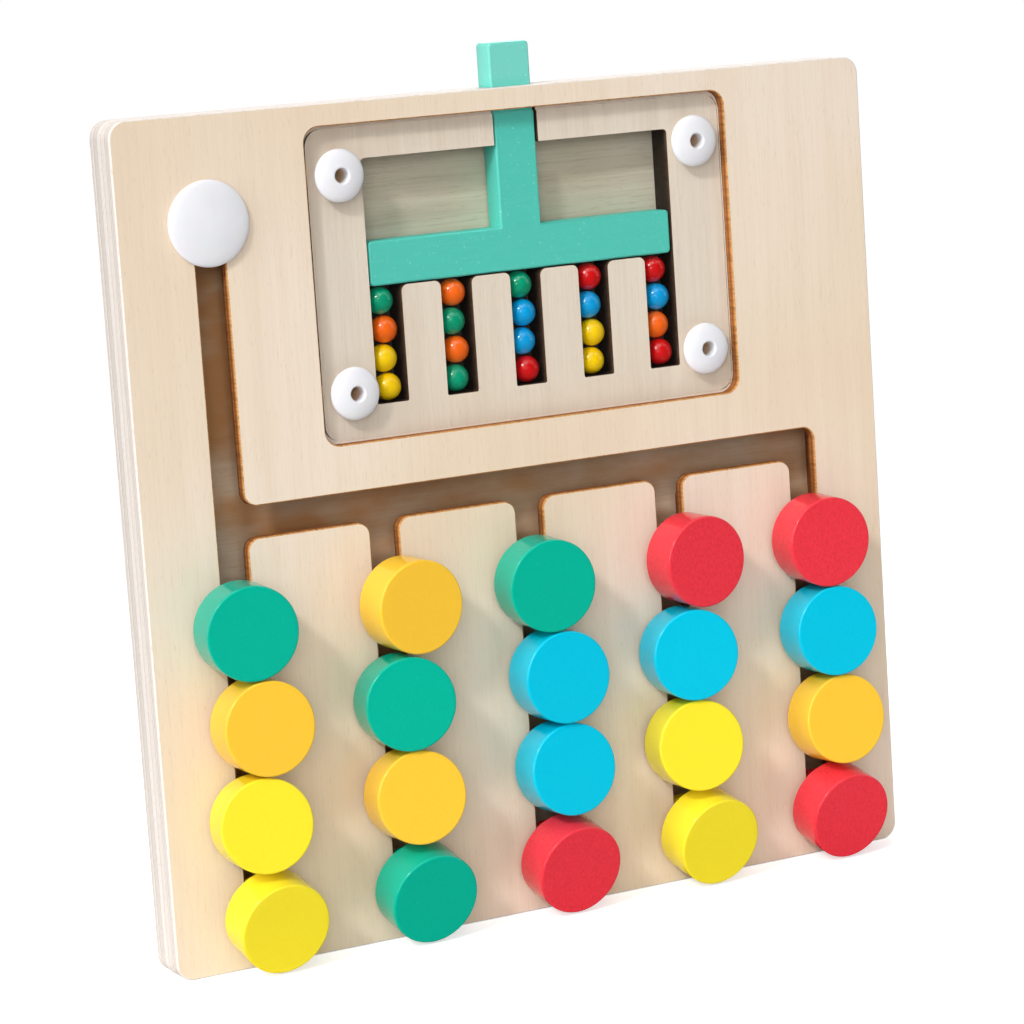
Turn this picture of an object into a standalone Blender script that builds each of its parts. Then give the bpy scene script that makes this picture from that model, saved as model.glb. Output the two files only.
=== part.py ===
"""Colour matching board: loose knobs slide in tracks below a window with beads on a comb."""

import math

import bmesh
import bpy
from mathutils import Vector

# Clearances, in metres
SEAT_GAP = 0.0003  # between a moving or seated piece and what it rests on
GLUE_LINE = 0.0002  # between the glued sheets of the board

# Sheets of the board
FRONT_THICKNESS = 0.0034
BACK_THICKNESS = 0.0024
BOARD_CORNER_RADIUS = 0.005

# Beads and the comb that holds them
BEAD_DIAMETER = 0.008
BEAD_GAP = 0.0002
BEAD_SIDE_PLAY = 0.0009
TOOTH_WIDTH = 0.0125
TOOTH_CORNER_RADIUS = 0.002
CHAMBER_CORNER_RADIUS = 0.0012
SLOT_CORNER_RADIUS = 0.0005

# Window and its pane
WINDOW_SIDE_FRAME = 0.0182  # comb layer seen beside the chamber
WINDOW_BASE_FRAME = 0.0098  # comb layer seen below the bead slots
WINDOW_TOP_FRAME = 0.010  # comb layer seen above the chamber
WINDOW_CORNER_RADIUS = 0.0045
PANE_THICKNESS = 0.002
PANE_EDGE_GAP = 0.0008
PANE_CORNER_RADIUS = 0.005

# Bar
BAR_HEIGHT = 0.0126
BAR_TRAVEL = 0.0232
BAR_SIDE_GAP = 0.0006
BAR_CORNER_RADIUS = 0.0012
STEM_WIDTH = 0.013
STEM_SIDE_GAP = 0.0006
HANDLE_HEIGHT = 0.0126  # of the stem above the board

# Tracks
TRACK_WIDTH = 0.009
TRACK_CORNER_RADIUS = 0.0038
TRACK_END_RADIUS = 0.001
SIDE_MARGIN = 0.0267  # board edge to the middle of the outer columns
COLUMN_RISE = 0.028  # top knob's stem up to the middle of the cross track
TRACK_TO_WINDOW = 0.0136  # wood between the cross track and the window

# Place of the window on the board
FIRST_COLUMN_TO_WINDOW = 0.0307
WINDOW_RIGHT_MARGIN = 0.0472
WINDOW_TOP_MARGIN = 0.0064

# Knobs
KNOB_DIAMETER = 0.0268
KNOB_THICKNESS = 0.0123
KNOB_EDGE_RADIUS = 0.0009
KNOB_STEM_PLAY = 0.002  # on each side of the stem in its track
KNOB_FLOOR_GAP = 0.0005  # lowest knob above the surface that the board stands on
FOOT_LIP = 0.004  # foot beyond the stem, all round
FOOT_THICKNESS = 0.0022
KNOB_DROOP = (0.5, -2.0, -4.0, 12.5)  # degrees that each row hangs forward, top row first
KNOB_TURN = (0.0, -5.0, -5.0, 0.0)  # degrees that each row faces to the right
KNOB_YAW = 4.0  # further degrees that a knob turns when it leans fully to one side

# Plug at the top of the left track
PLUG_HEAD_DIAMETER = 0.024
PLUG_HEAD_HEIGHT = 0.0026
PLUG_RIM_HEIGHT = 0.0007
PLUG_HOLE_DIAMETER = 0.0176
PLUG_TOP_MARGIN = 0.0298  # board's top edge to the plug's middle

# Rivets
RIVET_HEAD_DIAMETER = 0.015
RIVET_HEAD_HEIGHT = 0.0025
RIVET_RIM_HEIGHT = 0.0004
RIVET_SHANK_DIAMETER = 0.007
RIVET_BORE_DIAMETER = 0.0042
RIVET_INSET_X = 0.0103  # window's edge to the rivet's middle
RIVET_INSET_Z = 0.0140
REAR_FLANGE_DIAMETER = 0.012
REAR_FLANGE_THICKNESS = 0.001
REAR_PIN_LENGTH = 0.0065

# Facets
KNOB_SEGMENTS = 20
RIVET_SEGMENTS = 16
PLUG_SEGMENTS = 24
BEAD_SEGMENTS = 10
BEAD_RINGS = 6
ARC_STEP = math.radians(30)
DOME_STEPS = 4

# Colours, linear
BASSWOOD = (0.80, 0.66, 0.49)
PALE_BASSWOOD = (0.72, 0.62, 0.49)
ACRYLIC = (0.92, 0.94, 0.93)
WHITE_PLASTIC = (0.88, 0.88, 0.90)
TEAL_PAINT = (0.08, 0.53, 0.42)
KNOB_PAINT = {
    "green": (0.004, 0.44, 0.31),
    "amber": (0.93, 0.53, 0.05),
    "yellow": (0.91, 0.78, 0.03),
    "blue": (0.004, 0.50, 0.76),
    "red": (0.74, 0.04, 0.06),
}
BEAD_LACQUER = {
    "green": (0.01, 0.25, 0.10),
    "amber": (0.86, 0.13, 0.02),
    "yellow": (0.88, 0.58, 0.01),
    "blue": (0.02, 0.32, 0.73),
    "red": (0.66, 0.02, 0.02),
}

# Colour of each column from its top knob down. The beads repeat it.
COLUMN_COLOURS = (
    ("green", "amber", "yellow", "yellow"),
    ("amber", "green", "amber", "green"),
    ("green", "blue", "blue", "red"),
    ("red", "blue", "yellow", "yellow"),
    ("red", "blue", "amber", "red"),
)
# How far each loose knob leans in its track, as a share of its play, to the right when positive
COLUMN_LEANS = (
    (-1.0, 0.75, -0.5, 0.25),
    (1.0, -0.5, 0.0, 0.25),
    (-0.75, 1.0, 1.0, 0.5),
    (1.0, -0.5, -0.5, 0.75),
    (-0.5, 0.5, 1.0, 0.5),
)
COLUMNS = len(COLUMN_COLOURS)
ROWS = len(COLUMN_COLOURS[0])

# Depths from the front face, towards the back
LAYER_THICKNESS = BEAD_DIAMETER + 2 * BEAD_GAP
LAYER_FRONT = FRONT_THICKNESS + GLUE_LINE
LAYER_BACK = LAYER_FRONT + LAYER_THICKNESS
BACK_FRONT = LAYER_BACK + GLUE_LINE
BOARD_DEPTH = BACK_FRONT + BACK_THICKNESS
PANE_BACK = LAYER_FRONT - GLUE_LINE
PANE_FRONT = PANE_BACK - PANE_THICKNESS

# Knob sizes that follow from its track
STEM_RADIUS = TRACK_WIDTH / 2 - KNOB_STEM_PLAY
FOOT_RADIUS = STEM_RADIUS + FOOT_LIP
KNOB_RADIUS = KNOB_DIAMETER / 2
PIVOT_DEPTH = FRONT_THICKNESS / 2
MOST_YAW = math.radians(max(abs(turn) for turn in KNOB_TURN) + KNOB_YAW)
MOST_TILT = math.radians(
    max(math.hypot(droop, abs(turn) + KNOB_YAW) for droop, turn in zip(KNOB_DROOP, KNOB_TURN))
)
KNOB_STANDOFF = KNOB_RADIUS * math.sin(MOST_TILT) + SEAT_GAP
FOOT_STANDOFF = FOOT_RADIUS * math.sin(MOST_TILT) + SEAT_GAP
STEM_SWAY = PIVOT_DEPTH * math.sin(MOST_TILT)
LEAN_SHIFT = KNOB_STEM_PLAY - STEM_SWAY - SEAT_GAP
FOOT_SWAY = (PIVOT_DEPTH + FOOT_STANDOFF + FOOT_THICKNESS) * math.sin(MOST_YAW)
CHANNEL_WIDTH = 2 * (FOOT_RADIUS + LEAN_SHIFT + FOOT_SWAY + SEAT_GAP)

# Layout across the board
BEAD_SLOT = BEAD_DIAMETER + 2 * BEAD_SIDE_PLAY
BEAD_PITCH = BEAD_SLOT + TOOTH_WIDTH
CHAMBER_WIDTH = COLUMNS * BEAD_SLOT + (COLUMNS - 1) * TOOTH_WIDTH
WINDOW_WIDTH = CHAMBER_WIDTH + 2 * WINDOW_SIDE_FRAME
BOARD_WIDTH = SIDE_MARGIN + FIRST_COLUMN_TO_WINDOW + WINDOW_WIDTH + WINDOW_RIGHT_MARGIN
WINDOW_LEFT = SIDE_MARGIN + FIRST_COLUMN_TO_WINDOW - BOARD_WIDTH / 2
WINDOW_RIGHT = WINDOW_LEFT + WINDOW_WIDTH
CHAMBER_LEFT = WINDOW_LEFT + WINDOW_SIDE_FRAME
CHAMBER_RIGHT = CHAMBER_LEFT + CHAMBER_WIDTH
STEM_MIDDLE = (CHAMBER_LEFT + CHAMBER_RIGHT) / 2
FIRST_COLUMN = SIDE_MARGIN - BOARD_WIDTH / 2
COLUMN_PITCH = -2 * FIRST_COLUMN / (COLUMNS - 1)

# Layout up the board
KNOB_BACK = PIVOT_DEPTH + KNOB_STANDOFF
KNOB_REACH = KNOB_BACK + KNOB_THICKNESS


def knob_heights():
    """Heights of the knobs' stems, top row first: the lowest hangs just clear of the surface below,
    and each other disc clears the one under it along the depth that both share."""
    droops = [math.radians(degrees) for degrees in reversed(KNOB_DROOP)]
    hang = max(KNOB_REACH * math.sin(droops[0]), KNOB_BACK * math.sin(droops[0]))
    heights = [KNOB_FLOOR_GAP + KNOB_RADIUS * math.cos(droops[0]) + hang]
    for lower, upper in zip(droops, droops[1:]):
        top_shift = KNOB_RADIUS * math.sin(lower)
        bottom_shift = -KNOB_RADIUS * math.sin(upper)
        near = max(KNOB_BACK * math.cos(lower) + top_shift, KNOB_BACK * math.cos(upper) + bottom_shift)
        far = min(KNOB_REACH * math.cos(lower) + top_shift, KNOB_REACH * math.cos(upper) + bottom_shift)
        spread = math.tan(upper) - math.tan(lower)
        radii = KNOB_RADIUS / math.cos(lower) + KNOB_RADIUS / math.cos(upper)
        heights.append(heights[-1] + radii + max(near * spread, far * spread) + SEAT_GAP)
    return heights[::-1]


ROW_HEIGHTS = knob_heights()
TRACK_BOTTOM = ROW_HEIGHTS[-1] - STEM_RADIUS / math.cos(MOST_TILT) - STEM_SWAY - SEAT_GAP
CHANNEL_BOTTOM = ROW_HEIGHTS[-1] - FOOT_RADIUS - SEAT_GAP
CROSS_HEIGHT = ROW_HEIGHTS[0] + COLUMN_RISE
WINDOW_BOTTOM = CROSS_HEIGHT + TRACK_WIDTH / 2 + TRACK_TO_WINDOW
SLOT_BOTTOM = WINDOW_BOTTOM + WINDOW_BASE_FRAME
TOOTH_TOP = SLOT_BOTTOM + ROWS * BEAD_DIAMETER + (ROWS + 1) * BEAD_GAP
BAR_BOTTOM = TOOTH_TOP + SEAT_GAP
CHAMBER_TOP = BAR_BOTTOM + BAR_HEIGHT + BAR_TRAVEL + SEAT_GAP
WINDOW_TOP = CHAMBER_TOP + WINDOW_TOP_FRAME
BOARD_HEIGHT = WINDOW_TOP + WINDOW_TOP_MARGIN
PLUG_HEIGHT = BOARD_HEIGHT - PLUG_TOP_MARGIN


def clear_scene():
    for item in list(bpy.data.objects):
        bpy.data.objects.remove(item, do_unlink=True)


def column_middle(column):
    return FIRST_COLUMN + column * COLUMN_PITCH


def board_y(depth):
    """World Y of a depth behind the front face: the board's middle sheet stands over the origin."""
    return depth - BOARD_DEPTH / 2


def paint(name, colour, roughness, alpha=1.0):
    material = bpy.data.materials.new(name)
    material.use_nodes = True
    shader = material.node_tree.nodes["Principled BSDF"]
    shader.inputs["Base Color"].default_value = (*colour, 1.0)
    shader.inputs["Roughness"].default_value = roughness
    shader.inputs["Metallic"].default_value = 0.0
    shader.inputs["Alpha"].default_value = alpha
    return material


def arc(middle, radius, start, end):
    """Points on a circle from one angle to another, at most ARC_STEP apart."""
    steps = max(1, math.ceil(abs(end - start) / ARC_STEP - 0.001))
    angles = [start + (end - start) * step / steps for step in range(steps + 1)]
    return [middle + radius * Vector((math.cos(angle), math.sin(angle))) for angle in angles]


def rounded(corners):
    """Outline through (x, z, radius) corners, with an arc at each corner that has a radius."""
    outline = []
    count = len(corners)
    for index, (x, z, radius) in enumerate(corners):
        here = Vector((x, z))
        before = (Vector(corners[index - 1][:2]) - here).normalized()
        after = (Vector(corners[(index + 1) % count][:2]) - here).normalized()
        if radius == 0:
            outline.append(here)
            continue
        half = before.angle(after) / 2
        middle = here + (before + after).normalized() * (radius / math.sin(half))
        run = radius / math.tan(half)
        first = here + before * run - middle
        last = here + after * run - middle
        start = math.atan2(first.y, first.x)
        turn = first.angle_signed(last)
        outline.extend(arc(middle, radius, start, start - turn))
    return outline


def rounded_box(left, right, bottom, top, radius):
    return rounded([(left, bottom, radius), (right, bottom, radius), (right, top, radius), (left, top, radius)])


def circle(x, z, radius, segments):
    turns = [2 * math.pi * step / segments for step in range(segments)]
    return [Vector((x + radius * math.cos(turn), z + radius * math.sin(turn))) for turn in turns]


def add_object(name, mesh_data, material, smooth=False):
    mesh = bpy.data.meshes.new(name)
    mesh_data.to_mesh(mesh)
    mesh_data.free()
    mesh.materials.append(material)
    if smooth:
        mesh.shade_smooth()
        mesh.set_sharp_from_angle(angle=math.radians(35))
    piece = bpy.data.objects.new(name, mesh)
    bpy.context.scene.collection.objects.link(piece)
    return piece


def sheet(name, outline, holes, front, back, material):
    """A flat piece: an outline with holes, from one depth to another."""
    shape = bmesh.new()
    edges = []
    for loop in [outline, *holes]:
        ring = [shape.verts.new((point.x, board_y(front), point.y)) for point in loop]
        for index, vertex in enumerate(ring):
            edges.append(shape.edges.new((ring[index - 1], vertex)))
    filled = bmesh.ops.triangle_fill(shape, use_beauty=True, edges=edges, normal=(0, -1, 0))
    faces = [item for item in filled["geom"] if isinstance(item, bmesh.types.BMFace)]
    grown = bmesh.ops.extrude_face_region(shape, geom=faces, use_keep_orig=True)
    moved = [item for item in grown["geom"] if isinstance(item, bmesh.types.BMVert)]
    bmesh.ops.translate(shape, verts=moved, vec=(0, back - front, 0))
    bmesh.ops.recalc_face_normals(shape, faces=shape.faces)
    return add_object(name, shape, material)


def turned(name, profile, segments, material, closed=False):
    """A turned piece: (radius, depth) points spun round the Y axis. A closed profile leaves a bore."""
    shape = bmesh.new()
    points = [shape.verts.new((radius, depth, 0)) for radius, depth in profile]
    pairs = list(zip(points, points[1:]))
    if closed:
        pairs.append((points[-1], points[0]))
    edges = [shape.edges.new(pair) for pair in pairs]
    bmesh.ops.spin(
        shape,
        geom=[*points, *edges],
        cent=(0, 0, 0),
        axis=(0, 1, 0),
        angle=2 * math.pi,
        steps=segments,
        use_merge=True,
    )
    bmesh.ops.remove_doubles(shape, verts=shape.verts, dist=1e-6)
    bmesh.ops.recalc_face_normals(shape, faces=shape.faces)
    return add_object(name, shape, material, smooth=True)


def dome(radius, rim, height, inner_radius=0.0):
    """(radius, height) points over a domed head, from its rim to its middle or to its bore."""
    last = math.acos(inner_radius / radius)
    angles = [last * step / DOME_STEPS for step in range(DOME_STEPS + 1)]
    rise = (height - rim) / math.sin(last)
    return [(radius * math.cos(angle), rim + rise * math.sin(angle)) for angle in angles]


def board_outline():
    half = BOARD_WIDTH / 2
    return rounded_box(-half, half, 0.0, BOARD_HEIGHT, BOARD_CORNER_RADIUS)


def track_outline(width, bottom, corner, end_corner, hole_radius):
    """One opening for all the tracks: the plug's hole, the left track, the cross track and the columns."""
    half = width / 2
    left = column_middle(0)
    right = column_middle(COLUMNS - 1)
    cross_low = CROSS_HEIGHT - half
    cross_high = CROSS_HEIGHT + half
    corners = [(left - half, bottom, end_corner)]
    for column in range(COLUMNS):
        middle = column_middle(column)
        if column > 0:
            corners.append((middle - half, cross_low, corner))
            corners.append((middle - half, bottom, end_corner))
        corners.append((middle + half, bottom, end_corner))
        if column < COLUMNS - 1:
            corners.append((middle + half, cross_low, corner))
    corners.append((right + half, cross_high, corner))
    corners.append((left + half, cross_high, corner))
    mouth = math.asin(half / hole_radius)
    mouth_height = PLUG_HEIGHT - hole_radius * math.cos(mouth)
    corners.append((left + half, mouth_height, 0))
    corners.append((left - half, mouth_height, 0))
    outline = rounded(corners)
    start = mouth - math.pi / 2
    hole = arc(Vector((left, PLUG_HEIGHT)), hole_radius, start, start + 2 * (math.pi - mouth))
    return outline[:-2] + hole


def rivet_places():
    for side, x in (("left", WINDOW_LEFT + RIVET_INSET_X), ("right", WINDOW_RIGHT - RIVET_INSET_X)):
        for level, z in (("upper", WINDOW_TOP - RIVET_INSET_Z), ("lower", WINDOW_BOTTOM + RIVET_INSET_Z)):
            yield f"{level}_{side}", x, z


def rivet_holes(diameter):
    return [circle(x, z, diameter / 2 + SEAT_GAP, RIVET_SEGMENTS) for place, x, z in rivet_places()]


def make_front_panel(wood):
    window = rounded_box(WINDOW_LEFT, WINDOW_RIGHT, WINDOW_BOTTOM, WINDOW_TOP, WINDOW_CORNER_RADIUS)
    tracks = track_outline(
        TRACK_WIDTH, TRACK_BOTTOM, TRACK_CORNER_RADIUS, TRACK_END_RADIUS, PLUG_HOLE_DIAMETER / 2
    )
    sheet("front_panel", board_outline(), [window, tracks], 0.0, FRONT_THICKNESS, wood)


def comb_notch():
    """Corners of the bead chamber, counted from the stem's gap down round the teeth and back."""
    gap_half = STEM_WIDTH / 2 + STEM_SIDE_GAP
    corners = [
        (STEM_MIDDLE - gap_half, BOARD_HEIGHT, 0),
        (STEM_MIDDLE - gap_half, CHAMBER_TOP, 0),
        (CHAMBER_LEFT, CHAMBER_TOP, CHAMBER_CORNER_RADIUS),
    ]
    for slot in range(COLUMNS):
        left = CHAMBER_LEFT + slot * BEAD_PITCH
        if slot > 0:
            corners.append((left, TOOTH_TOP, TOOTH_CORNER_RADIUS))
        corners.append((left, SLOT_BOTTOM, SLOT_CORNER_RADIUS))
        corners.append((left + BEAD_SLOT, SLOT_BOTTOM, SLOT_CORNER_RADIUS))
        if slot < COLUMNS - 1:
            corners.append((left + BEAD_SLOT, TOOTH_TOP, TOOTH_CORNER_RADIUS))
    corners.append((CHAMBER_RIGHT, CHAMBER_TOP, CHAMBER_CORNER_RADIUS))
    corners.append((STEM_MIDDLE + gap_half, CHAMBER_TOP, 0))
    corners.append((STEM_MIDDLE + gap_half, BOARD_HEIGHT, 0))
    return corners


def make_track_layer(wood):
    half = BOARD_WIDTH / 2
    radius = BOARD_CORNER_RADIUS
    edge = [
        (half, BOARD_HEIGHT, radius),
        (half, 0.0, radius),
        (-half, 0.0, radius),
        (-half, BOARD_HEIGHT, radius),
    ]
    outline = rounded(comb_notch() + edge)
    channels = track_outline(
        CHANNEL_WIDTH, CHANNEL_BOTTOM, TRACK_CORNER_RADIUS, TRACK_END_RADIUS, CHANNEL_WIDTH / 2 + SEAT_GAP
    )
    holes = [channels, *rivet_holes(RIVET_SHANK_DIAMETER)]
    sheet("track_layer", outline, holes, LAYER_FRONT, LAYER_BACK, wood)


def make_back_panel(wood):
    """The rear sheet, with a stepped hole for each rear rivet half."""
    rim = REAR_FLANGE_DIAMETER / 2 + SEAT_GAP
    bore = RIVET_SHANK_DIAMETER / 2 + SEAT_GAP
    shelf = BOARD_DEPTH - REAR_FLANGE_THICKNESS - SEAT_GAP
    outline = board_outline()
    shape = bmesh.new()
    loops = {}
    steps = {"front": (BACK_FRONT, bore), "shelf": (shelf, bore), "step": (shelf, rim), "rear": (BOARD_DEPTH, rim)}
    for level, (depth, hole_radius) in steps.items():
        rings = [circle(x, z, hole_radius, RIVET_SEGMENTS) for place, x, z in rivet_places()]
        if level in ("front", "rear"):
            rings = [outline, *rings]
        loops[level] = [
            [shape.verts.new((point.x, board_y(depth), point.y)) for point in ring] for ring in rings
        ]
    for level, facing in (("front", -1), ("rear", 1)):
        edges = []
        for ring in loops[level]:
            edges.extend(shape.edges.new((ring[index - 1], vertex)) for index, vertex in enumerate(ring))
        bmesh.ops.triangle_fill(shape, use_beauty=True, edges=edges, normal=(0, facing, 0))
    walls = [
        (loops["front"][0], loops["rear"][0]),
        *zip(loops["front"][1:], loops["shelf"]),
        *zip(loops["shelf"], loops["step"]),
        *zip(loops["step"], loops["rear"][1:]),
    ]
    for near, far in walls:
        for index in range(len(near)):
            shape.faces.new((near[index - 1], near[index], far[index], far[index - 1]))
    bmesh.ops.recalc_face_normals(shape, faces=shape.faces)
    add_object("back_panel", shape, wood)


def make_pane(acrylic):
    outline = rounded_box(
        WINDOW_LEFT + PANE_EDGE_GAP,
        WINDOW_RIGHT - PANE_EDGE_GAP,
        WINDOW_BOTTOM + PANE_EDGE_GAP,
        WINDOW_TOP - PANE_EDGE_GAP,
        PANE_CORNER_RADIUS,
    )
    sheet("window_pane", outline, rivet_holes(RIVET_SHANK_DIAMETER), PANE_FRONT, PANE_BACK, acrylic)


def make_rivets(plastic):
    bore = RIVET_BORE_DIAMETER / 2
    shank = RIVET_SHANK_DIAMETER / 2
    seat = PANE_FRONT - SEAT_GAP
    shank_end = BOARD_DEPTH - REAR_FLANGE_THICKNESS - 3 * SEAT_GAP
    head = dome(RIVET_HEAD_DIAMETER / 2, RIVET_RIM_HEIGHT, RIVET_HEAD_HEIGHT, bore)
    front_half = [(radius, board_y(seat - height)) for radius, height in reversed(head)]
    front_half += [(RIVET_HEAD_DIAMETER / 2, board_y(seat)), (shank, board_y(seat))]
    front_half += [(shank, board_y(shank_end)), (bore, board_y(shank_end))]
    flange_front = BOARD_DEPTH - REAR_FLANGE_THICKNESS
    pin = bore - SEAT_GAP
    pin_end = flange_front - REAR_PIN_LENGTH
    rear_half = [(0.0, board_y(pin_end)), (pin, board_y(pin_end)), (pin, board_y(flange_front))]
    rear_half += [(REAR_FLANGE_DIAMETER / 2, board_y(flange_front))]
    rear_half += [(REAR_FLANGE_DIAMETER / 2, board_y(BOARD_DEPTH)), (0.0, board_y(BOARD_DEPTH))]
    for place, x, z in rivet_places():
        front = turned(f"rivet_{place}", front_half, RIVET_SEGMENTS, plastic, closed=True)
        front.location = (x, 0, z)
        rear = turned(f"rivet_rear_{place}", rear_half, RIVET_SEGMENTS, plastic)
        rear.location = (x, 0, z)


def make_plug(plastic):
    """Domed cap over the hole where the knobs go in, with a body that fills the hole."""
    head = dome(PLUG_HEAD_DIAMETER / 2, PLUG_RIM_HEIGHT, PLUG_HEAD_HEIGHT)
    body = PLUG_HOLE_DIAMETER / 2 - SEAT_GAP
    profile = [(radius, board_y(-SEAT_GAP - height)) for radius, height in reversed(head)]
    profile[0] = (0.0, profile[0][1])
    profile += [(PLUG_HEAD_DIAMETER / 2, board_y(-SEAT_GAP)), (body, board_y(-SEAT_GAP))]
    profile += [(body, board_y(LAYER_FRONT)), (0.0, board_y(LAYER_FRONT))]
    plug = turned("track_plug", profile, PLUG_SEGMENTS, plastic)
    plug.location = (column_middle(0), 0, PLUG_HEIGHT)


def make_bar(painted):
    """T-shaped bar: its cross piece lies on the teeth and its stem leaves through the top edge."""
    left = CHAMBER_LEFT + BAR_SIDE_GAP
    right = CHAMBER_RIGHT - BAR_SIDE_GAP
    top = BAR_BOTTOM + BAR_HEIGHT
    handle_top = BOARD_HEIGHT + HANDLE_HEIGHT
    stem_left = STEM_MIDDLE - STEM_WIDTH / 2
    stem_right = STEM_MIDDLE + STEM_WIDTH / 2
    round_corner = BAR_CORNER_RADIUS
    outline = rounded(
        [
            (left, BAR_BOTTOM, round_corner),
            (right, BAR_BOTTOM, round_corner),
            (right, top, round_corner),
            (stem_right, top, 0),
            (stem_right, handle_top, round_corner),
            (stem_left, handle_top, round_corner),
            (stem_left, top, 0),
            (left, top, round_corner),
        ]
    )
    sheet("bar", outline, [], LAYER_FRONT + SEAT_GAP, LAYER_BACK - SEAT_GAP, painted)


def knob_profile():
    """(radius, depth) from the front face's middle over the disc and along the stem to the foot."""
    back = -KNOB_BACK
    front = -KNOB_REACH
    edge = KNOB_EDGE_RADIUS
    foot_front = PIVOT_DEPTH + FOOT_STANDOFF
    foot_back = foot_front + FOOT_THICKNESS
    return [
        (0.0, front),
        (KNOB_RADIUS - edge, front),
        (KNOB_RADIUS, front + edge),
        (KNOB_RADIUS, back - edge),
        (KNOB_RADIUS - edge, back),
        (STEM_RADIUS, back),
        (STEM_RADIUS, foot_front),
        (FOOT_RADIUS, foot_front),
        (FOOT_RADIUS, foot_back),
        (0.0, foot_back),
    ]


def make_knobs():
    profile = knob_profile()
    paints = {colour: paint(f"{colour}_knob_paint", rgb, 0.4) for colour, rgb in KNOB_PAINT.items()}
    for column in range(COLUMNS):
        for row in range(ROWS):
            colour = COLUMN_COLOURS[column][row]
            lean = COLUMN_LEANS[column][row]
            name = f"knob_{column + 1}_{row + 1}_{colour}"
            knob = turned(name, profile, KNOB_SEGMENTS, paints[colour])
            across = column_middle(column) + lean * LEAN_SHIFT
            knob.location = (across, board_y(PIVOT_DEPTH), ROW_HEIGHTS[row])
            yaw = KNOB_TURN[row] + lean * KNOB_YAW
            knob.rotation_euler = (math.radians(KNOB_DROOP[row]), 0, math.radians(yaw))


def make_beads():
    """Four beads in each slot of the comb, lying to alternate sides of the slot."""
    lacquers = {colour: paint(f"{colour}_bead_lacquer", rgb, 0.12) for colour, rgb in BEAD_LACQUER.items()}
    sway = (BEAD_SIDE_PLAY - BEAD_GAP) / 2
    middle_depth = (LAYER_FRONT + LAYER_BACK) / 2
    for column in range(COLUMNS):
        slot_middle = CHAMBER_LEFT + BEAD_SLOT / 2 + column * BEAD_PITCH
        for row in range(ROWS):
            colour = COLUMN_COLOURS[column][row]
            below = ROWS - 1 - row
            height = SLOT_BOTTOM + BEAD_DIAMETER / 2 + BEAD_GAP + below * (BEAD_DIAMETER + BEAD_GAP)
            side = 1 if (column + row) % 2 else -1
            shape = bmesh.new()
            bmesh.ops.create_uvsphere(
                shape, u_segments=BEAD_SEGMENTS, v_segments=BEAD_RINGS, radius=BEAD_DIAMETER / 2
            )
            name = f"bead_{column + 1}_{row + 1}_{colour}"
            bead = add_object(name, shape, lacquers[colour], smooth=True)
            bead.location = (slot_middle + side * sway, board_y(middle_depth), height)


def main():
    clear_scene()
    wood = paint("basswood_face", BASSWOOD, 0.6)
    inner_wood = paint("basswood_core", PALE_BASSWOOD, 0.65)
    plastic = paint("white_plastic", WHITE_PLASTIC, 0.3)
    make_front_panel(wood)
    make_track_layer(inner_wood)
    make_back_panel(wood)
    make_pane(paint("clear_acrylic", ACRYLIC, 0.05, alpha=0.25))
    make_rivets(plastic)
    make_plug(plastic)
    make_bar(paint("teal_paint", TEAL_PAINT, 0.4))
    make_knobs()
    make_beads()


main()
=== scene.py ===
import math

import bmesh
import bpy
import numpy as np
from mathutils import Matrix, Vector


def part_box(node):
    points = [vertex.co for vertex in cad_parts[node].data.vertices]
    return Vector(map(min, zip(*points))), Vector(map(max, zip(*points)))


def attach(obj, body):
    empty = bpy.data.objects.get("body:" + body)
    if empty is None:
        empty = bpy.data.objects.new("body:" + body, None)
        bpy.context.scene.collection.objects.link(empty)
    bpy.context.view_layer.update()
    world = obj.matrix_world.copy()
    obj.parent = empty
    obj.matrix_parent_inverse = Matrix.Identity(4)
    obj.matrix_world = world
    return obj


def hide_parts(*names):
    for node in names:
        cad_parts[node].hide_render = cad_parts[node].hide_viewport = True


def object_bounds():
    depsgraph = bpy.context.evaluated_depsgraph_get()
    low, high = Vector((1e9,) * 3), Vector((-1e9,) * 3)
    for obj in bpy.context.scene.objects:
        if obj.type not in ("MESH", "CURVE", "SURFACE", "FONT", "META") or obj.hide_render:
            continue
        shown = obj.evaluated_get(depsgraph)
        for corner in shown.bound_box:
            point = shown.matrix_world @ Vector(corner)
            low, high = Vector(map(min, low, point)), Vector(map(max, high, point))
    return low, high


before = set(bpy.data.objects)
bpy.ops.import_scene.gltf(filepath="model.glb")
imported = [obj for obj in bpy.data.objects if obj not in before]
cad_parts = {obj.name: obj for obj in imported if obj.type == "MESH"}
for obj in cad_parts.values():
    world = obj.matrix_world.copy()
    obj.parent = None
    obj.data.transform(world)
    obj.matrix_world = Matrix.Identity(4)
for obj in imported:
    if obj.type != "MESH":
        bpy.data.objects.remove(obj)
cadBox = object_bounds()
scene = bpy.context.scene
mm = 0.001
print("frame loaded:", len(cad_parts), "nodes")


def hexToLinear(code):
    channels = [int(code[start:start + 2], 16) / 255 for start in (1, 3, 5)]
    linear = [c / 12.92 if c <= 0.04045 else ((c + 0.055) / 1.055) ** 2.4 for c in channels]
    return (*linear, 1.0)


def setInputs(node, values):
    for socket, value in values.items():
        node.inputs[socket].default_value = value


def addNode(tree, kind, settings=None, values=None, links=None):
    node = tree.nodes.new(kind)
    for name, value in (settings or {}).items():
        setattr(node, name, value)
    setInputs(node, values or {})
    for socket, origin in (links or {}).items():
        tree.links.new(origin, node.inputs[socket])
    return node


def newFinish(name):
    material = bpy.data.materials.new(name)
    material.use_nodes = True
    tree = material.node_tree
    shader = tree.nodes["Principled BSDF"]
    coords = addNode(tree, "ShaderNodeTexCoord").outputs["Object"]
    return material, tree, shader, coords


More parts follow.
